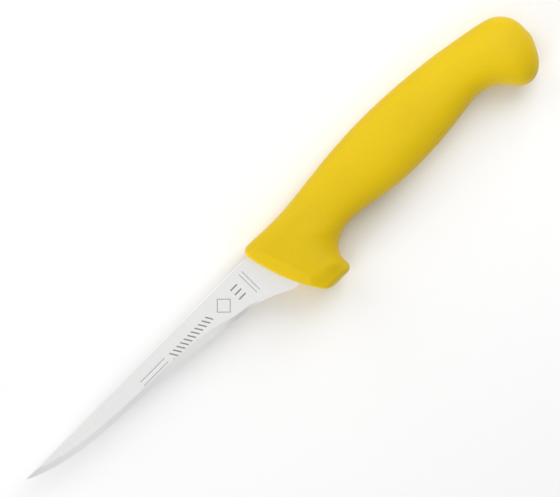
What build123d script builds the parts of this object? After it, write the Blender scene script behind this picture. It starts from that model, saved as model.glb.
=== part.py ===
from build123d import *
import os
from math import cos, pi, radians, sin

# Boning knife with a handle moulded over the tang. Millimetres.
# The knife is drawn lying on its side: X runs from the tip of the blade to the butt of the handle,
# Y points to the spine side, and Z is across the thickness. While it is drawn, the tip of the blade is
# at the origin and the middle of the blade's thickness is at Z = 0. At the end it is moved, so that the
# origin is under the middle of the whole knife, on the surface that it lies on.
# The entry is the place where the spine goes into the handle. Drops are measured from the line of the
# spine towards the edge, crowns from the same line the other way, and setbacks from the entry to the rear.

# ---- blade ----
blade_length = 123.7        # along the spine, from the tip to the entry
blade_depth = 15.0          # spine to edge, where the sharpening ends at the heel
middle_depth = 10.3         # spine to edge, in the middle of the straight stretch
sweep_depth = 7.8           # spine to edge, where the curve behind the tip ends
sweep_length = 28.0         # length of that curve
point_depth = 4.0           # spine to edge, in the middle of that curve
point_length = 9.8          # from the tip to that place
heel_length = 19.4          # from the end of the sharpening to the entry, along the spine
heel_depth = 22.2           # spine to heel corner
heel_reach = 3.5            # setback of the heel corner
heel_run = 7.0              # the heel runs on this far behind its corner, inside the handle

strip_thickness = 2.0       # the steel that the blade is stamped from, and so the tang
spine_thickness = 1.9       # ground spine, at the entry
tip_thickness = 0.8         # ground spine, at the tip
shoulder_thickness = 0.95   # behind the sharpened strip, at the heel
edge_thickness = 0.08       # the cutting edge itself
bevel_width = 2.3           # sharpened strip along the edge
bevel_fade = 9.5            # the strip narrows to nothing over this length, at the heel
spine_easing = 0.2          # radius on the two long corners of the spine
grind_gap = 1.2             # the flat grinding ends this far ahead of the handle
grind_rise = 7.0            # and rises to the full thickness over this length
grind_reach = 60.0          # half the width of the grinding wheel's track across the blade
blank_margin = 2.0          # the stamped blank is larger than the ground blade by this, at tip and edge

# ---- tang ----
tang_length = 96.0          # setback of its end
tang_drop = 2.0             # of its upper side
tang_depth = 12.5           # upper side to lower side
tang_throat = 16.0          # length over which the blade's depth becomes the tang's
tang_corner = 3.0           # radius on its corners
lock_hole = 7.0             # diameter of the holes that the handle's plastic fills
lock_hole_pitch = 24.0
lock_hole_count = 3
lock_hole_start = 34.0      # setback of the first hole

# ---- handle: outline ----
grip_length = 71.0          # from the waist behind the finger guard to the neck ahead of the butt
guard_length = 37.3         # from the entry to the waist
butt_length = 32.2          # from the neck to the end of the handle
waist_depth = 22.75
belly_depth = 28.65
neck_depth = 22.75
waist_crown = 3.95
belly_crown = 6.1
neck_crown = 3.15
butt_crown = -1.5           # where the back turns down round the butt
underside_setback = 2.2     # the underside's waist and belly lie this far behind the back's

guard_drop = 32.5           # of the finger guard's tip
guard_front_radius = 7.0
guard_front_setback = 17.1  # of the front radius's centre
guard_back_radius = 2.65
guard_back_setback = 23.4   # of the back radius's centre
nose_crown = 2.85           # of the handle's front corner
nose_radius = 2.9
nose_setback = 2.95         # of its centre
nose_dip = 0.5              # the back dips by this behind the nose
nose_dip_setback = 16.0
lip_bow = 1.55              # how far the handle's front edge bows forwards
butt_drop = 31.1            # of the butt hook's tip
butt_reach = 12.2           # from the hook's tip to the end of the handle
butt_end_drop = 17.0        # where the hook's outline reaches the end of the handle
butt_radius = 11.9          # upper corner of the butt
butt_turn = 72.0            # degrees, where that corner starts

# ---- handle: thicknesses and shape of its cross-sections ----
guard_tip_thickness = 8.6
guard_thickness = 21.6
nose_thickness = 21.0
waist_thickness = 17.2
belly_thickness = 20.4
neck_thickness = 19.0
butt_thickness = 21.6
butt_end_thickness = 4.3
front_fullness = 9.0        # squareness of the handle's front: 2 is an ellipse
nose_fullness = 4.5
grip_fullness = 2.3

# ---- handle: sloping band round the blade's entry ----
band_width = 5.3            # setback of the crease at its top
band_slope = 18.0           # degrees, how far the band slopes in to the blade
crease_top_drop = 3.0
crease_foot_drop = 27.0
crease_foot_setback = 12.9
crease_depth = 0.08         # how far the crease lies below the thickest place of the guard

section_steps = 22          # steps over one side of a cross-section
fine_steps = 200            # and the finer ones that are measured to space them evenly
well_past = 300.0           # reaches past the whole knife, for the shapes that cut it

# ---- places along the knife that several shapes share ----
handle_front = blade_length
waist_at = handle_front + guard_length
neck_at = waist_at + grip_length
belly_at = (waist_at + neck_at) / 2
handle_end = neck_at + butt_length
heel_at = handle_front - heel_length
fall_along = (spine_thickness - tip_thickness) / 2 / blade_length
heel_height = tip_thickness / 2 + fall_along * heel_at
fall_across = (heel_height - shoulder_thickness / 2) / (blade_depth - bevel_width)


def between(start, end, *shares):
    """Points on the way from start to end, each by its share of the way in X and its share in Y."""
    start = Vector(start)
    way = Vector(end) - start
    return [start + Vector(way.X * along, way.Y * across) for along, across in shares]


# ---- handle: outline ----
def front_curves():
    """The outline from the tip of the finger guard up the front, round the nose and along the back."""
    guard_centre = (handle_front + guard_front_setback, guard_front_radius - guard_drop)
    guard = CenterArc(guard_centre, guard_front_radius, 270, -55)
    nose = CenterArc((handle_front + nose_setback, nose_crown - nose_radius), nose_radius, 196, -104)
    lip = SagittaArc(guard @ 1, nose @ 0, lip_bow)
    butt_centre = (handle_end - butt_radius, butt_crown - butt_radius * sin(radians(butt_turn)))
    butt = CenterArc(butt_centre, butt_radius, butt_turn, -butt_turn - 7)
    waist = (waist_at, waist_crown)
    belly = (belly_at, belly_crown)
    neck = (neck_at, neck_crown)
    back = Spline(
        nose @ 1,
        (handle_front + nose_dip_setback, nose_crown - nose_dip),
        waist,
        *between(waist, belly, (0.487, 0.777)),
        belly,
        *between(belly, neck, (0.507, 0.312)),
        neck,
        *between(neck, butt @ 0, (0.583, 0.516)),
        butt @ 0,
        tangents=[(1, 0), butt % 0],
    )
    return guard, lip, nose, back, butt


def back_curves():
    """The outline from the tip of the finger guard through the notch and along the underside."""
    guard_centre = (handle_front + guard_back_setback, guard_back_radius - guard_drop)
    guard = CenterArc(guard_centre, guard_back_radius, 270, 90)
    waist = (waist_at + underside_setback, waist_crown - waist_depth)
    belly = (belly_at + underside_setback, belly_crown - belly_depth)
    neck = (neck_at, neck_crown - neck_depth)
    hook_tip = (handle_end - butt_reach, -butt_drop)
    butt_end = (handle_end, -butt_end_drop)
    notch = Spline(
        guard @ 1,
        *between(guard @ 1, waist, (0.048, 0.475), (0.304, 0.783), (0.626, 0.955)),
        waist,
        tangents=[(0, 1), (1, 0)],
    )
    underside = Spline(
        waist,
        *between(waist, belly, (0.487, 0.667)),
        belly,
        *between(belly, neck, (0.55, 0.373), (0.82, 0.78)),
        neck,
        tangents=[(1, 0), (1, 0)],
    )
    hook = Spline(
        neck,
        *between(neck, hook_tip, (0.53, 0.383), (0.73, 0.8)),
        hook_tip,
        *between(hook_tip, butt_end, (0.459, 0.156), (0.861, 0.656)),
        butt_end,
        tangents=[(1, 0), (0.3, 4.0)],
    )
    return guard, notch, underside, hook


def span_share(curve, x):
    """The share of a curve's length at which it reaches x, for a curve that always runs towards +X."""
    low, high = 0.0, 1.0
    for _ in range(30):
        middle = (low + high) / 2
        low, high = (middle, high) if (curve @ middle).X < x else (low, middle)
    return low


# ---- handle: cross-sections ----
def even(share):
    """Runs smoothly from 0 to 1, level at both ends."""
    return (1 - cos(pi * share)) / 2


def opening(share):
    """Runs from 0 to 1, fast at first, as the end of a round shape opens out."""
    return sin(pi / 2 * share)


def closing(share):
    """Runs from 0 to 1, fast at last, as the end of a round shape closes."""
    return 1 - cos(pi / 2 * share)


def handle_spans():
    """The handle from the tip of the finger guard to its butt, in stretches. Each one runs along a front and
    a back curve, from one share of their lengths to another. Then come the steps, the thickness and the
    front's squareness at both ends, and how the thickness changes between them."""
    guard_front, lip, nose, back, butt = front_curves()
    guard_back, notch, underside, hook = back_curves()
    lip_top = 0.46              # share of the notch that faces the upper end of the lip
    nose_end = 0.60             # and the one that faces the end of the nose
    hook_front = 0.43           # share of the hook that faces the start of the butt's corner
    waist = span_share(back, waist_at)
    belly = span_share(back, belly_at)
    neck = span_share(back, neck_at)
    belly_below = span_share(underside, belly_at + underside_setback)
    oval = grip_fullness
    square = front_fullness
    squarish = nose_fullness
    return [
        (guard_front, (0, 1), guard_back, (0, 1), 5,
            (guard_tip_thickness, guard_thickness), (oval, square), opening),
        (lip, (0, 1), notch, (0, lip_top), 9,
            (guard_thickness, guard_thickness), (square, square), even),
        (nose, (0, 1), notch, (lip_top, nose_end), 5,
            (guard_thickness, nose_thickness), (square, squarish), even),
        (back, (0, waist), notch, (nose_end, 1), 9,
            (nose_thickness, waist_thickness), (squarish, oval), even),
        (back, (waist, belly), underside, (0, belly_below), 7,
            (waist_thickness, belly_thickness), (oval, oval), even),
        (back, (belly, neck), underside, (belly_below, 1), 7,
            (belly_thickness, neck_thickness), (oval, oval), even),
        (back, (neck, 1), hook, (0, hook_front), 6,
            (neck_thickness, butt_thickness), (oval, oval), even),
        (butt, (0, 1), hook, (hook_front, 1), 9,
            (butt_thickness, butt_end_thickness), (oval, oval), closing),
    ]


def part_way(ends, share):
    """The value a share of the way between two."""
    return ends[0] + (ends[1] - ends[0]) * share


def evenly_spaced(line, steps):
    """Points at equal distances along a line of many points, with both its ends, and the line's length."""
    travelled = [0.0]
    for before, after in zip(line, line[1:]):
        travelled.append(travelled[-1] + (after - before).length)
    points = [line[0]]
    number = 0
    for step in range(1, steps):
        distance = travelled[-1] * step / steps
        while travelled[number + 1] < distance:
            number += 1
        share = (distance - travelled[number]) / (travelled[number + 1] - travelled[number])
        points.append(part_way((line[number], line[number + 1]), share))
    return points + [line[-1]], travelled[-1]


def cross_section(front, back, thickness, fullness):
    """A closed cross-section of the handle through two points in the plane of the blade. fullness is its
    squareness at each of them."""
    centre = (front + back) / 2
    reach = (front - back) / 2
    line = [front]
    for step in range(1, fine_steps):
        turn = pi * step / fine_steps
        power = fullness[0] if cos(turn) > 0 else fullness[1]
        size = (abs(cos(turn)) ** power + sin(turn) ** power) ** (-1 / power)
        line.append(centre + reach * (size * cos(turn)) + Vector(0, 0, size * sin(turn) * thickness / 2))
    line.append(back)
    side, length = evenly_spaced(line, section_steps)
    other_side = [Vector(point.X, point.Y, -point.Z) for point in reversed(side)]
    up = Vector(0, 0, length)
    down = Vector(0, 0, -length)
    shares = [step / section_steps for step in range(section_steps + 1)]
    return Wire([
        Edge.make_spline(side, tangents=[up, down], parameters=shares, scale=False),
        Edge.make_spline(other_side, tangents=[down, up], parameters=shares, scale=False),
    ])


def handle_body():
    """The outside of the handle: narrow strips between neighbouring cross-sections, sewn together, with a
    small flat at each end."""
    sections = []
    for front, front_ends, back, back_ends, steps, thickness, fullness, change in handle_spans():
        for step in range(1 if sections else 0, steps + 1):
            share = step / steps
            sections.append(cross_section(
                front @ part_way(front_ends, share),
                back @ part_way(back_ends, share),
                part_way(thickness, change(share)),
                (part_way(fullness, even(share)), grip_fullness),
            ))
    skin = [Face(sections[0]), Face(sections[-1])]
    for section, following in zip(sections, sections[1:]):
        for edge, following_edge in zip(section.edges(), following.edges()):
            skin.append(Face.make_surface_from_curves(edge, following_edge))
    return Solid(Shell(skin))


def front_band():
    """What the sloping band takes off one side of the handle, from the crease forwards."""
    top = Vector(handle_front + band_width, -crease_top_drop, 0)
    foot = Vector(handle_front + crease_foot_setback, -crease_foot_drop, 0)
    along = (top - foot).normalized()
    inwards = Vector(along.Y, -along.X, 0)
    slope = radians(band_slope)
    crease = (top + foot) / 2 + Vector(0, 0, guard_thickness / 2 - crease_depth)
    out = inwards * -sin(slope) + Vector(0, 0, cos(slope))
    return Plane(origin=crease, x_dir=along, z_dir=out) * Box(
        well_past, well_past, guard_thickness, align=(Align.CENTER, Align.CENTER, Align.MIN))


# ---- blade ----
def side_height(place):
    """Half the ground blade's thickness at a place: it falls evenly to the tip and to the edge."""
    return tip_thickness / 2 + fall_along * place.X + fall_across * place.Y


def blank_face():
    """The stamped outline of the blade and its tang. Towards the tip it is left too large: the sharpening
    takes that away."""
    deep = blade_depth + blank_margin
    heel_start = (heel_at, -blade_depth)
    heel_corner = (handle_front + heel_reach, -heel_depth)
    heel_curve = Spline(
        (heel_at - 4 * blank_margin, -deep),
        heel_start,
        *between(heel_start, heel_corner, (0.428, 0.18), (0.699, 0.48)),
        heel_corner,
    )
    tang_bottom = -tang_drop - tang_depth
    tang_end = handle_front + tang_length
    throat_end = handle_front + tang_throat
    step_at = handle_front + tang_throat / 2
    rest = Polyline(
        heel_corner,
        (handle_front + heel_reach + heel_run, -heel_depth),
        (throat_end, tang_bottom),
        (tang_end, tang_bottom),
        (tang_end, -tang_drop),
        (step_at + tang_drop, -tang_drop),
        (step_at, 0),
        (-blank_margin, 0),
        (-blank_margin, -deep),
        heel_curve @ 0,
    )
    face = make_face([heel_curve, rest])
    corners = face.vertices().filter_by(lambda corner: corner.X > step_at + tang_drop / 2)
    face = fillet(corners, tang_corner)
    for number in range(lock_hole_count):
        x = handle_front + lock_hole_start + number * lock_hole_pitch
        face -= Pos(x, -tang_drop - tang_depth / 2) * Circle(lock_hole / 2)
    return face


def ground_away():
    """What the grinding takes off one side: a flat as far as a line just ahead of the handle, then a short
    rise to the full thickness."""
    lip = front_curves()[1]
    lip_middle = 0.6
    along = lip % lip_middle
    ahead = Vector(-abs(along.Y), along.X * (1 if along.Y > 0 else -1))
    start = lip @ lip_middle + ahead * grind_gap
    end = start - ahead * grind_rise
    above = Vector(0, 0, 2 * strip_thickness)
    reach = along * grind_reach
    flat = Plane(
        origin=(0, 0, tip_thickness / 2), x_dir=(1, 0, fall_along), z_dir=(-fall_along, -fall_across, 1))
    everything = flat * Box(
        2 * well_past, well_past, strip_thickness * 4, align=(Align.CENTER, Align.CENTER, Align.MIN))
    in_front = Plane(origin=start, x_dir=ahead, z_dir=(0, 0, 1)) * Box(
        well_past, well_past, well_past, align=(Align.MIN, Align.CENTER, Align.CENTER))
    foot = [place + Vector(0, 0, side_height(place)) for place in (start - reach, start + reach)]
    brow = [place + Vector(0, 0, strip_thickness / 2) for place in (end - reach, end + reach)]
    rise = Solid.make_loft([
        Wire.make_polygon([foot[0], foot[1], start + reach + above, start - reach + above]),
        Wire.make_polygon([brow[0], brow[1], end + reach + above, end - reach + above]),
    ], ruled=True)
    return everything & in_front, rise


def sharpened():
    """The space that the sharpening leaves: a long wedge round the cutting edge, set back from it on each
    side so that the strip has its width where the wedge meets the ground side. Behind the heel the wedge
    runs out past the steel, so the strip narrows and ends."""
    edge_points = [
        Vector(0, 0),
        Vector(point_length, -point_depth),
        Vector(sweep_length, -sweep_depth),
        Vector((sweep_length + heel_at) / 2, -middle_depth),
        Vector(heel_at, -blade_depth),
    ]
    edge = Spline(*edge_points)
    sharp = edge_thickness / 2
    high = strip_thickness
    low_points = list(edge_points)
    high_points = []
    for place in edge_points:
        along = edge.tangent_at(place)
        shoulder = place + Vector(-along.Y, along.X) * bevel_width
        growth = (high - sharp) / (side_height(shoulder) - sharp)
        high_points.append(place + (shoulder - place) * growth)
    # Each step of the run-out: its place in shares of the fade, its drop below the edge's end, and how far
    # the wedge's upper line stands above its lower one.
    for share, drop, rise in ((0.5, 0.9, 8.3), (1.0, 3.4, 10.4), (1.63, 12.5, 2.0)):
        place = Vector(heel_at + share * bevel_fade, -blade_depth - drop)
        low_points.append(place)
        high_points.append(place + Vector(0.1 * rise, rise))
    wires = []
    levels = ((high_points, -high), (low_points, -sharp), (low_points, sharp), (high_points, high))
    for points, z in levels:
        line = Spline(*points)
        front, rear = line @ 0, line @ 1
        back = Polyline(
            rear, (handle_end, rear.Y), (handle_end, well_past), (front.X, well_past), front)
        wires.append(Pos(0, 0, z) * Wire([*line.edges(), *back.edges()]))
    return Solid.make_loft(wires, ruled=True)


def make_blade():
    flat, rise = ground_away()
    blade = extrude(blank_face(), strip_thickness / 2, both=True) - flat - flat.mirror(Plane.XY)
    spine = blade.edges().filter_by(
        lambda edge: edge.length > blade_length / 2 and abs(edge.center().Y) < 0.01)
    blade = fillet(spine, spine_easing) - rise - rise.mirror(Plane.XY)
    return blade & sharpened()


def make_handle(blade):
    """The handle is moulded round the blade, so its hollow is the tang's own shape."""
    band = front_band()
    return handle_body() - band - band.mirror(Plane.XY) - blade


if __name__ == "__main__":
    os.makedirs("parts", exist_ok=True)
    blade = make_blade()
    handle = make_handle(blade)
    box = blade.bounding_box().add(handle.bounding_box())
    origin = Pos(-(box.min.X + box.max.X) / 2, -(box.min.Y + box.max.Y) / 2, -box.min.Z)
    for name, piece in (("blade", blade), ("handle", handle)):
        export_step(origin * piece, f"parts/{name}.step")
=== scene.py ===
from math import cos, radians, sin, tan

import bpy
import numpy as np
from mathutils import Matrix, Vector


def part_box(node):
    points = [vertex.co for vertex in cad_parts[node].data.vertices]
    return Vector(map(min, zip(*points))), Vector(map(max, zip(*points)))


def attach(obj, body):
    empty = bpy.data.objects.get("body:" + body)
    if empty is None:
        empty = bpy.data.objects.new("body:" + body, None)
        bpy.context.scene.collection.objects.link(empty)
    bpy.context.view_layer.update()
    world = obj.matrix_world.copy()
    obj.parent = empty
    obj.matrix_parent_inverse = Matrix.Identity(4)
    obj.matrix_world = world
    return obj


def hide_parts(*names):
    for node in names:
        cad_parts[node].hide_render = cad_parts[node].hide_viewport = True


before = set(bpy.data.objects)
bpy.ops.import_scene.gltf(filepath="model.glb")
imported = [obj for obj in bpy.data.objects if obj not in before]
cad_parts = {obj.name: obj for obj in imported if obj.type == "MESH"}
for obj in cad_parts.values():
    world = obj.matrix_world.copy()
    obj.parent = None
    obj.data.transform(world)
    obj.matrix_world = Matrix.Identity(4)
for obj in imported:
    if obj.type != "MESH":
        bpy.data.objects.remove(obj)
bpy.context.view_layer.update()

# A boning knife, lying on its side on a pale floor. The handle is drawn again here as a fine mesh with soft
# edges, and stands for the CAD handle. The CAD blade is shown as it is, in a finer material.
# Sizes are in millimetres and in the knife's own frame: the blade's tip is at the origin, +X runs to the
# butt and +Y to the spine. placed() turns them into metres in the CAD frame. Drops are measured from the
# line of the spine towards the edge, crowns the other way, and setbacks from the place where the spine goes
# into the handle.

mm = 0.001
blade_low, blade_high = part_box("blade")
handle_rear_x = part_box("handle")[1].x
tip_x = blade_low.x
spine_y = blade_high.y
middle_z = (blade_low.z + blade_high.z) / 2
steel_half = (blade_high.z - blade_low.z) / 2 / mm

# ---- handle: outline ----
grip_length = 71.0
guard_length = 37.3
butt_length = 32.2
waist_depth = 22.75
belly_depth = 28.65
neck_depth = 22.75
waist_crown = 3.95
belly_crown = 6.1
neck_crown = 3.15
butt_crown = -1.5
underside_setback = 2.2
guard_drop = 32.5
guard_front_radius = 7.0
guard_front_setback = 17.1
guard_back_radius = 2.65
guard_back_setback = 23.4
nose_crown = 2.85
nose_radius = 2.9
nose_setback = 2.95
nose_dip = 0.5
nose_dip_setback = 16.0
lip_bow = 1.55
butt_drop = 31.1
butt_reach = 12.2
butt_end_drop = 17.0
butt_radius = 11.9
butt_turn = 72.0

# ---- handle: thicknesses and cross-sections ----
guard_round_thickness = 16.5    # where the guard's rounded tip begins
guard_thickness = 21.6
nose_thickness = 21.0
waist_thickness = 17.2
belly_thickness = 20.4
neck_thickness = 19.0
butt_thickness = 21.6
front_fullness = 9.0            # squareness of the handle's front: 2 is an ellipse
nose_fullness = 4.5
grip_fullness = 2.3
guard_tip_thickest = 0.42       # thickest place of a section, as a share of the way from front to back
guard_thickest = 0.44
nose_thickest = 0.48
grip_thickest = 0.5

# ---- handle: sloping band, and the fine shapes that moulding leaves ----
band_width = 5.3                # setback of the crease at its top
band_slope = radians(18.0)
crease_top_drop = 3.0
crease_foot_drop = 27.0
crease_foot_setback = 12.9
crease_depth = 0.08             # how far the crease lies below the thickest place of the guard
crease_softness = 0.05          # how gently the band turns into the side
parting_height = 0.05           # raised line where the two halves of the mould met
parting_width = 0.12
entry_depth = 0.28              # the plastic turns in this far where it meets the steel
entry_width = 0.3
entry_top_fade = 1.5            # it turns in less and less over this height at its top
entry_end_setback = 9.0         # and not at all from here to the rear
entry_end_fade = 2.0            # after it fades over this length

# ---- handle: mesh ----
row_factor = 5                  # rows of the mesh for each step of the stretches below
row_easing = 6                  # passes that ease the rows into each other
crease_easing = 20              # passes that ease the crease's place along the rows
# Distances along a row of its columns from the entry's edge, and of others from the crease.
entry_stops = (0, 0.05, 0.1, 0.2, 0.4, 0.7, 0.9, 1.0, 1.1, 1.2, 1.35, 1.6, 2.0)
crease_stops = (-0.5, -0.3, -0.15, -0.05, 0.05, 0.15, 0.3, 0.5)
front_columns = 14              # from the entry's stops to the crease's
back_columns = 34               # from the crease's stops to the underside
full_row = 20.0                 # a row shorter than this has its stops closer together
fine_turns = 600                # points of a section before it is divided into columns
curve_steps = 300               # points of each outline curve

handle_front = (handle_rear_x - tip_x) / mm - butt_length - grip_length - guard_length
waist_at = handle_front + guard_length
neck_at = waist_at + grip_length
belly_at = (waist_at + neck_at) / 2
handle_end = neck_at + butt_length


def placed(points):
    """Points of the knife's own frame, in metres in the CAD frame."""
    return np.asarray(points) * mm + (tip_x, spine_y, middle_z)


# ---- outline curves: each is a fine line of points ----
def arc(centre, radius, start, turn):
    """An arc from an angle in degrees, through a turn in degrees."""
    angles = np.radians(np.linspace(start, start + turn, curve_steps))
    return np.stack([centre[0] + radius * np.cos(angles), centre[1] + radius * np.sin(angles)], axis=1)


def bowed(start, end, bow):
    """An arc between two points that bows out by bow, to the left of the way from start to end."""
    half = np.linalg.norm(end - start) / 2
    radius = (half ** 2 + bow ** 2) / (2 * bow)
    along = (end - start) / (2 * half)
    left = np.array([-along[1], along[0]])
    places = np.linspace(-1, 1, curve_steps)[:, None] * np.arcsin(half / radius)
    centre = (start + end) / 2 + left * (bow - radius)
    return centre + radius * (np.sin(places) * along + np.cos(places) * left)


def spline(points, start_way, end_way):
    """A smooth cubic curve through points that leaves and arrives in the given directions."""
    points = np.asarray(points, float)
    steps = np.linalg.norm(np.diff(points, axis=0), axis=1)
    count = len(points)
    system = np.eye(count)
    ways = np.zeros((count, 2))
    ways[0] = np.asarray(start_way) / np.linalg.norm(start_way)
    ways[-1] = np.asarray(end_way) / np.linalg.norm(end_way)
    for i in range(1, count - 1):
        before, after = 1 / steps[i - 1], 1 / steps[i]
        system[i, i - 1:i + 2] = before, 2 * (before + after), after
        ways[i] = 3 * ((points[i] - points[i - 1]) * before ** 2 + (points[i + 1] - points[i]) * after ** 2)
    slopes = np.linalg.solve(system, ways)
    line = []
    for i in range(count - 1):
        t = np.linspace(0, 1, curve_steps, endpoint=i == count - 2)[:, None]
        line.append(
            points[i] * (1 + 2 * t) * (1 - t) ** 2
            + points[i + 1] * t ** 2 * (3 - 2 * t)
            + slopes[i] * steps[i] * t * (1 - t) ** 2
            + slopes[i + 1] * steps[i] * t ** 2 * (t - 1))
    return np.concatenate(line)


def at(line, share):
    """The point a share of the way along a fine line."""
    travelled = np.concatenate([[0], np.cumsum(np.linalg.norm(np.diff(line, axis=0), axis=1))])
    return np.array([np.interp(share * travelled[-1], travelled, line[:, i]) for i in (0, 1)])


def share_at(line, x):
    """The share of its length at which a line that runs towards +X reaches x."""
    travelled = np.concatenate([[0], np.cumsum(np.linalg.norm(np.diff(line, axis=0), axis=1))])
    return np.interp(x, line[:, 0], travelled / travelled[-1])


def between(start, end, *shares):
    """Points on the way from start to end, each by its share of the way in X and its share in Y."""
    return [(start[0] + (end[0] - start[0]) * x, start[1] + (end[1] - start[1]) * y) for x, y in shares]


def front_curves():
    """The outline from the tip of the finger guard up the front, round the nose and along the back."""
    guard_centre = (handle_front + guard_front_setback, guard_front_radius - guard_drop)
    guard = arc(guard_centre, guard_front_radius, 270, -55)
    nose = arc((handle_front + nose_setback, nose_crown - nose_radius), nose_radius, 196, -104)
    lip = bowed(guard[-1], nose[0], lip_bow)
    butt_centre = (handle_end - butt_radius, butt_crown - butt_radius * sin(radians(butt_turn)))
    butt = arc(butt_centre, butt_radius, butt_turn, -butt_turn - 7)
    waist = (waist_at, waist_crown)
    belly = (belly_at, belly_crown)
    neck = (neck_at, neck_crown)
    back = spline([
        nose[-1],
        (handle_front + nose_dip_setback, nose_crown - nose_dip),
        waist,
        *between(waist, belly, (0.487, 0.777)),
        belly,
        *between(belly, neck, (0.507, 0.312)),
        neck,
        *between(neck, butt[0], (0.583, 0.516)),
        butt[0],
    ], (1, 0), butt[1] - butt[0])
    return guard, lip, nose, back, butt


def back_curves():
    """The outline from the tip of the finger guard through the notch and along the underside."""
    guard_centre = (handle_front + guard_back_setback, guard_back_radius - guard_drop)
    guard = arc(guard_centre, guard_back_radius, 270, 90)
    waist = (waist_at + underside_setback, waist_crown - waist_depth)
    belly = (belly_at + underside_setback, belly_crown - belly_depth)
    neck = (neck_at, neck_crown - neck_depth)
    hook_tip = (handle_end - butt_reach, -butt_drop)
    butt_end = (handle_end, -butt_end_drop)
    notch_shape = between(guard[-1], waist, (0.048, 0.475), (0.304, 0.783), (0.626, 0.955))
    notch = spline([guard[-1], *notch_shape, waist], (0, 1), (1, 0))
    underside = spline([
        waist,
        *between(waist, belly, (0.487, 0.667)),
        belly,
        *between(belly, neck, (0.55, 0.373), (0.82, 0.78)),
        neck,
    ], (1, 0), (1, 0))
    hook = spline([
        neck,
        *between(neck, hook_tip, (0.53, 0.383), (0.73, 0.8)),
        hook_tip,
        *between(hook_tip, butt_end, (0.459, 0.156), (0.861, 0.656)),
        butt_end,
    ], (1, 0), (0.3, 4.0))
    return guard, notch, underside, hook


# ---- handle: sections across the outline ----
def even(share):
    """Runs smoothly from 0 to 1, level at both ends."""
    return (1 - cos(np.pi * share)) / 2


def opening(share):
    """Runs from 0 to 1, fast at first, as the end of a round shape opens out."""
    return sin(np.pi / 2 * share)


def closing(share):
    """Runs from 0 to 1, fast at last, as the end of a round shape closes."""
    return 1 - cos(np.pi / 2 * share)


def handle_spans():
    """The handle from the tip of the finger guard to its butt, in stretches. Each one runs along a front and
    a back curve, from one share of their lengths to another. Then come the steps, and at both ends the
    thickness, the front's squareness and the thickest place's share of the way from front to back. Last is
    how the thickness changes between the ends."""
    guard_front, lip, nose, back, butt = front_curves()
    guard_back, notch, underside, hook = back_curves()
    lip_low = 0.35              # share of the lip where the guard reaches its full thickness
    notch_low = 0.16            # share of the notch that faces it
    notch_lip = 0.46            # share of the notch that faces the upper end of the lip
    notch_nose = 0.60           # and the one that faces the end of the nose
    hook_front = 0.43           # share of the hook that faces the start of the butt's corner
    waist = share_at(back, waist_at)
    belly = share_at(back, belly_at)
    neck = share_at(back, neck_at)
    belly_below = share_at(underside, belly_at + underside_setback)
    oval = grip_fullness
    square = front_fullness
    squarish = nose_fullness
    middle = (grip_thickest, grip_thickest)
    return [
        (guard_front, (0, 1), guard_back, (0, 1), 7,
            (0, guard_round_thickness), (oval, square), (grip_thickest, guard_tip_thickest), opening),
        (lip, (0, lip_low), notch, (0, notch_low), 4,
            (guard_round_thickness, guard_thickness), (square, square), (guard_tip_thickest, guard_thickest),
            opening),
        (lip, (lip_low, 1), notch, (notch_low, notch_lip), 6,
            (guard_thickness, guard_thickness), (square, square), (guard_thickest, guard_thickest), even),
        (nose, (0, 1), notch, (notch_lip, notch_nose), 5,
            (guard_thickness, nose_thickness), (square, squarish), (guard_thickest, nose_thickest), even),
        (back, (0, waist), notch, (notch_nose, 1), 9,
            (nose_thickness, waist_thickness), (squarish, oval), (nose_thickest, grip_thickest), even),
        (back, (waist, belly), underside, (0, belly_below), 7,
            (waist_thickness, belly_thickness), (oval, oval), middle, even),
        (back, (belly, neck), underside, (belly_below, 1), 7,
            (belly_thickness, neck_thickness), (oval, oval), middle, even),
        (back, (neck, 1), hook, (0, hook_front), 6,
            (neck_thickness, butt_thickness), (oval, oval), middle, even),
        (butt, (0, 1), hook, (hook_front, 1), 12,
            (butt_thickness, 0), (oval, oval), middle, closing),
    ]


def part_way(ends, share):
    """The value a share of the way between two."""
    return ends[0] + (ends[1] - ends[0]) * share


def sections():
    """Each row as seven numbers: its front point, its back point, its thickness, the front's squareness and
    the share of the way to its thickest place."""
    rows = []
    for front, front_ends, back, back_ends, steps, thickness, fullness, thickest, change in handle_spans():
        steps *= row_factor
        for step in range(1 if rows else 0, steps + 1):
            share = step / steps
            rows.append(np.concatenate([
                at(front, part_way(front_ends, share)),
                at(back, part_way(back_ends, share)),
                [part_way(thickness, change(share))],
                [part_way(fullness, even(share)), part_way(thickest, even(share))],
            ]))
    return eased(np.array(rows), row_easing)


def eased(rows, passes):
    """Rows with each value eased towards its neighbours', except in the first and last row."""
    for _ in range(passes):
        rows[1:-1] = (rows[:-2] + 2 * rows[1:-1] + rows[2:]) / 4
    return rows


def side_line(row):
    """Fine points over the upper side of one section, from its front to its back: place in the plane of the
    blade and height over it, and the height of the sloping band there."""
    front, back = row[:2], row[2:4]
    thickness, fullness, thickest = row[4:]
    turn = np.linspace(0, np.pi, fine_turns)
    power = np.where(turn < np.pi / 2, fullness, grip_fullness)
    size = (np.abs(np.cos(turn)) ** power + np.sin(turn) ** power) ** (-1 / power)
    reach = np.where(turn < np.pi / 2, thickest, 1 - thickest)
    place = front + (back - front) * (thickest - reach * size * np.cos(turn))[:, None]
    height = size * np.sin(turn) * thickness / 2
    height[-1] = 0
    top = np.array([handle_front + band_width, -crease_top_drop])
    foot = np.array([handle_front + crease_foot_setback, -crease_foot_drop])
    along = (top - foot) / np.linalg.norm(top - foot)
    rearwards = (place - top) @ np.array([along[1], -along[0]])
    band = guard_thickness / 2 - crease_depth + rearwards * tan(band_slope)
    return place, height, band


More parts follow.
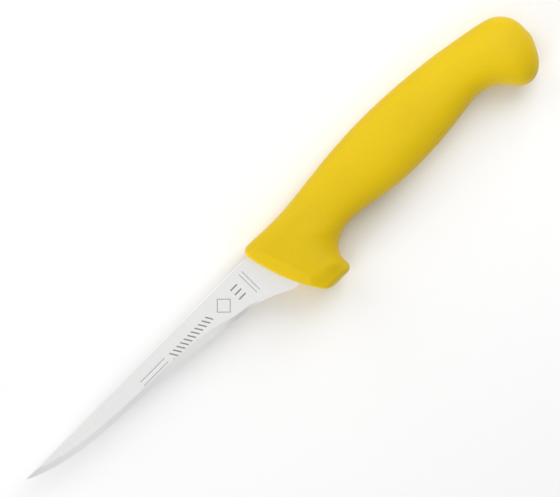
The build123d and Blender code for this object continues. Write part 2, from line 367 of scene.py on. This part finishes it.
def handle_grid():
    """The handle's upper side as rows of points, each from the front round to the underside."""
    rows = sections()
    lines = []
    creases = []
    for row in rows:
        place, height, band = side_line(row)
        steps = np.linalg.norm(np.diff(np.column_stack([place, height]), axis=0), axis=1)
        travelled = np.concatenate([[0], np.cumsum(steps)])
        above = np.flatnonzero(height > band)
        creases.append(travelled[above[-1]] / travelled[-1] if len(above) else np.nan)
        lines.append((place, height, band, travelled))
    creases = np.array(creases)
    known = np.flatnonzero(~np.isnan(creases))
    creases = eased(np.interp(np.arange(len(rows)), known, creases[known]), crease_easing)
    grid = []
    for (place, height, band, travelled), crease, row in zip(lines, creases, rows):
        length = travelled[-1]
        closer = min(1, length / full_row)
        entry = np.array(entry_stops) * closer
        around = crease * length + np.array(crease_stops) * closer
        to_crease = np.linspace(entry[-1], around[0], front_columns + 2)[1:-1]
        parting = length - np.array([1, 0.5, 0]) * parting_width * closer
        to_back = np.linspace(around[-1], parting[0], back_columns)[1:-1]
        stops = np.concatenate([entry, to_crease, around, to_back, parting])
        lowered = height - crease_softness * np.logaddexp(0, (height - band) / crease_softness)
        x = np.interp(stops, travelled, place[:, 0])
        y = np.interp(stops, travelled, place[:, 1])
        z = np.interp(stops, travelled, lowered)
        outwards = (row[:2] - row[2:4]) / np.linalg.norm(row[:2] - row[2:4])
        on_lip = np.clip((nose_crown - row[1]) / entry_top_fade, 0, 1)
        on_lip *= np.clip((handle_front + entry_end_setback - row[0]) / entry_end_fade, 0, 1)
        turned_in = entry_depth * np.exp(-(np.maximum(z - steel_half, 0) / entry_width) ** 2) * on_lip
        ridge = parting_height * np.clip(1 - z / parting_width, 0, 1) * (1 - on_lip)
        shift = np.where(stops < length / 2, ridge - turned_in, -ridge)
        grid.append(np.column_stack([x + shift * outwards[0], y + shift * outwards[1], z]))
    return np.array(grid)


def handle_mesh():
    """The whole handle: the upper side's grid, mirrored to the lower side, joined along the outline."""
    upper = handle_grid()
    rows, columns = upper.shape[:2]
    lower = upper[1:-1, 1:-1] * (1, 1, -1)
    points = np.concatenate([upper.reshape(-1, 3), lower.reshape(-1, 3)])

    def upper_index(row, column):
        return row * columns + column

    def lower_index(row, column):
        if row in (0, rows - 1) or column in (0, columns - 1):
            return upper_index(row, column)
        return rows * columns + (row - 1) * (columns - 2) + column - 1

    faces = []
    for row in range(rows - 1):
        for column in range(columns - 1):
            corners = ((row, column), (row + 1, column), (row + 1, column + 1), (row, column + 1))
            faces.append([upper_index(*corner) for corner in corners])
            faces.append([lower_index(*corner) for corner in reversed(corners)])
    mesh = bpy.data.meshes.new("handle_grip")
    mesh.from_pydata(placed(points).tolist(), [], faces)
    mesh.shade_smooth()
    return mesh


# ---- materials ----
class Field:
    """A number that varies over a surface, worked out by math nodes."""

    def __init__(self, tree, socket):
        self.tree = tree
        self.socket = socket

    def apply(self, operation, *others):
        node = self.tree.nodes.new("ShaderNodeMath")
        node.operation = operation
        for slot, value in enumerate((self, *others)):
            if isinstance(value, Field):
                self.tree.links.new(value.socket, node.inputs[slot])
            else:
                node.inputs[slot].default_value = value
        return Field(self.tree, node.outputs[0])

    def __add__(self, other):
        return self.apply("ADD", other)

    def __sub__(self, other):
        return self.apply("SUBTRACT", other)

    def __mul__(self, other):
        return self.apply("MULTIPLY", other)

    def size(self):
        return self.apply("ABSOLUTE")

    def below(self, limit):
        return self.apply("LESS_THAN", limit)

    def larger(self, other):
        return self.apply("MAXIMUM", other)


def new_material(name):
    """A material with its node tree and its shader."""
    material = bpy.data.materials.new(name)
    material.use_nodes = True
    tree = material.node_tree
    shader = tree.nodes["Principled BSDF"]
    return material, tree, shader


def surface_place(tree):
    """The place on the object, in metres in the CAD frame, as a vector and as X, Y and Z."""
    coordinates = tree.nodes.new("ShaderNodeTexCoord")
    parts = tree.nodes.new("ShaderNodeSeparateXYZ")
    tree.links.new(coordinates.outputs["Object"], parts.inputs[0])
    return coordinates.outputs["Object"], [Field(tree, socket) for socket in parts.outputs]


def noise(tree, place, per_mm, detail=2.0, roughness=0.5):
    """Noise from 0 to 1 with the given number of features per millimetre along X, Y and Z."""
    mapping = tree.nodes.new("ShaderNodeMapping")
    mapping.inputs["Scale"].default_value = [value / mm for value in per_mm]
    tree.links.new(place, mapping.inputs["Vector"])
    texture = tree.nodes.new("ShaderNodeTexNoise")
    texture.inputs["Scale"].default_value = 1.0
    texture.inputs["Detail"].default_value = detail
    texture.inputs["Roughness"].default_value = roughness
    tree.links.new(mapping.outputs[0], texture.inputs["Vector"])
    return Field(tree, texture.outputs["Fac"])


def mixed(tree, share, first, second):
    """A colour between two, by a share from 0 to 1."""
    mix = tree.nodes.new("ShaderNodeMix")
    mix.data_type = "RGBA"
    mix.clamp_factor = True
    tree.links.new(share.socket, mix.inputs["Factor"])
    for name, colour in (("A", first), ("B", second)):
        socket = next(s for s in mix.inputs if s.name == name and s.type == "RGBA")
        if isinstance(colour, bpy.types.NodeSocket):
            tree.links.new(colour, socket)
        else:
            socket.default_value = (*colour, 1)
    return next(s for s in mix.outputs if s.type == "RGBA")


def bumped(tree, shader, height, depth):
    """Raises the surface by height, from 0 to 1, times depth in metres."""
    bump = tree.nodes.new("ShaderNodeBump")
    bump.inputs["Distance"].default_value = depth
    tree.links.new(height.socket, bump.inputs["Height"])
    tree.links.new(bump.outputs[0], shader.inputs["Normal"])


def plastic():
    """Yellow polypropylene with the fine matte grain of a spark-eroded mould."""
    material, tree, shader = new_material("handle_plastic")
    place, _ = surface_place(tree)
    grain = noise(tree, place, (4.5, 4.5, 4.5), detail=3.0, roughness=0.6)
    speckle = noise(tree, place, (1.6, 1.6, 1.6), detail=2.0)
    flow = noise(tree, place, (0.035, 0.06, 0.06), detail=1.0)
    tone = speckle * 0.55 + flow * 0.45
    colour = mixed(tree, (tone - 0.3) * 2.5, (0.71, 0.485, 0.0018), (0.77, 0.535, 0.0024))
    tree.links.new(colour, shader.inputs["Base Color"])
    tree.links.new((grain * 0.14 + speckle * 0.10 + 0.40).socket, shader.inputs["Roughness"])
    shader.inputs["Specular IOR Level"].default_value = 0.2
    bumped(tree, shader, grain + speckle * 0.6, 0.045 * mm)
    return material


def etched(place_x, place_y, place_z):
    """1 on the blade's etched marks and 0 elsewhere: plain hatching, lines, bars and a diamond, on the upper
    side only. Places along the blade are from its tip, and drops are from the line of the spine."""
    along = (place_x - tip_x) * (1 / mm)
    across = (place_y - spine_y) * (1 / mm)
    thin = 0.12                 # half the width of a line

    def off(value, centre):
        return (value - centre).size()

    def block(middle, half_length, drop, half_width):
        return off(along, middle).below(half_length) * off(across, -drop).below(half_width)

    hatching = (along + across * 0.6).apply("PINGPONG", 1.0).below(0.32) * block(85.8, 11.0, 6.7, 1.5)
    diamond = off(off(along, 103.5) + off(across, -7.15), 3.6).below(0.2)
    bars = off(across, -7.35).apply("PINGPONG", 1.2).below(0.3) * block(111.3, 1.8, 7.35, 2.8)
    lines = off(off(across, -6.1), 1.0).below(thin) * off(along, 65.8).below(6.7)
    cross_lines = off(off(along, 117.2), 0.8).below(thin) * off(across, -7.7).below(5.0)
    marks = hatching.larger(diamond).larger(bars).larger(lines).larger(cross_lines)
    return marks * (place_z * -1).below(-middle_z)


def steel():
    """Stainless steel, ground across the blade, with etched marks."""
    material, tree, shader = new_material("blade_steel")
    place, (x, y, z) = surface_place(tree)
    fine_lines = noise(tree, place, (9.0, 0.12, 0.12), detail=3.0, roughness=0.7)
    broad_lines = noise(tree, place, (1.4, 0.03, 0.03), detail=2.0)
    cloud = noise(tree, place, (0.05, 0.05, 0.05), detail=2.0)
    marks = etched(x, y, z)
    tone = fine_lines * 0.5 + broad_lines * 0.35 + cloud * 0.15
    ground = mixed(tree, (tone - 0.3) * 2.5, (0.82, 0.823, 0.817), (0.89, 0.891, 0.883))
    colour = mixed(tree, marks, ground, (0.30, 0.30, 0.30))
    tree.links.new(colour, shader.inputs["Base Color"])
    shader.inputs["Metallic"].default_value = 1.0
    roughness = fine_lines * 0.10 + cloud * 0.06 + marks * 0.2 + 0.27
    tree.links.new(roughness.socket, shader.inputs["Roughness"])
    bumped(tree, shader, fine_lines * 0.6 + broad_lines * 0.4 - marks * 0.5, 0.012 * mm)
    return material


def floor_paint():
    """Matte, nearly white."""
    material, _, shader = new_material("floor")
    shader.inputs["Base Color"].default_value = (0.96, 0.96, 0.96, 1)
    shader.inputs["Roughness"].default_value = 0.9
    shader.inputs["Specular IOR Level"].default_value = 0.0
    return material


# ---- the knife ----
handle = bpy.data.objects.new("handle_grip", handle_mesh())
bpy.context.scene.collection.objects.link(handle)
handle.data.materials.append(plastic())
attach(handle, "root")
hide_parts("handle")

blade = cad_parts["blade"]
blade_material = steel()
for slot in blade.material_slots:
    slot.material = blade_material

# ---- floor, light and camera ----
floor_half = 3.0
floor_mesh = bpy.data.meshes.new("floor")
corners = [(x, y, 0) for x, y in ((-1, -1), (1, -1), (1, 1), (-1, 1))]
floor_mesh.from_pydata([Vector(corner) * floor_half for corner in corners], [], [(0, 1, 2, 3)])
floor_mesh.materials.append(floor_paint())
floor = bpy.data.objects.new("floor", floor_mesh)
bpy.context.scene.collection.objects.link(floor)

view_turn = radians(45.2845)    # the knife lies at this angle in the picture
view_centre = Vector((2.92, 6.13, 0)) * mm
view_width = 220.2 * mm
camera_height = 1.3             # metres, as the lamps' places are

camera_data = bpy.data.cameras.new("camera")
camera_data.lens = 200
camera_data.sensor_fit = "HORIZONTAL"
camera_data.sensor_width = 2 * camera_data.lens * (view_width / 2) / (camera_height - middle_z)
camera = bpy.data.objects.new("camera", camera_data)
camera.location = view_centre + Vector((0, 0, camera_height))
camera.rotation_euler = (0, 0, -view_turn)
bpy.context.scene.collection.objects.link(camera)
bpy.context.scene.camera = camera


def soft_box(name, place, size, radiance):
    """A square area light that faces the knife and looks this bright."""
    light = bpy.data.lights.new(name, "AREA")
    light.shape = "SQUARE"
    light.size = size
    light.energy = radiance * np.pi * size ** 2
    lamp = bpy.data.objects.new(name, light)
    lamp.location = place
    lamp.rotation_euler = (-place).to_track_quat("-Z", "Y").to_euler()
    bpy.context.scene.collection.objects.link(lamp)


soft_box("overhead", Vector((0.05, 0.1, 1.9)), 2.2, 0.66)
soft_box("spine_side", Vector((-0.1, 1.2, 0.8)), 1.2, 1.3)
soft_box("butt_side", Vector((0.38, 0.12, 0.36)), 0.36, 2.9)
soft_box("tip_side", Vector((-1.0, -0.05, 0.28)), 0.6, 7.0)

world = bpy.data.worlds.new("studio")
world.use_nodes = True
world.node_tree.nodes["Background"].inputs["Color"].default_value = (0.30, 0.30, 0.30, 1)
bpy.context.scene.world = world
bpy.context.scene.view_settings.view_transform = "Standard"
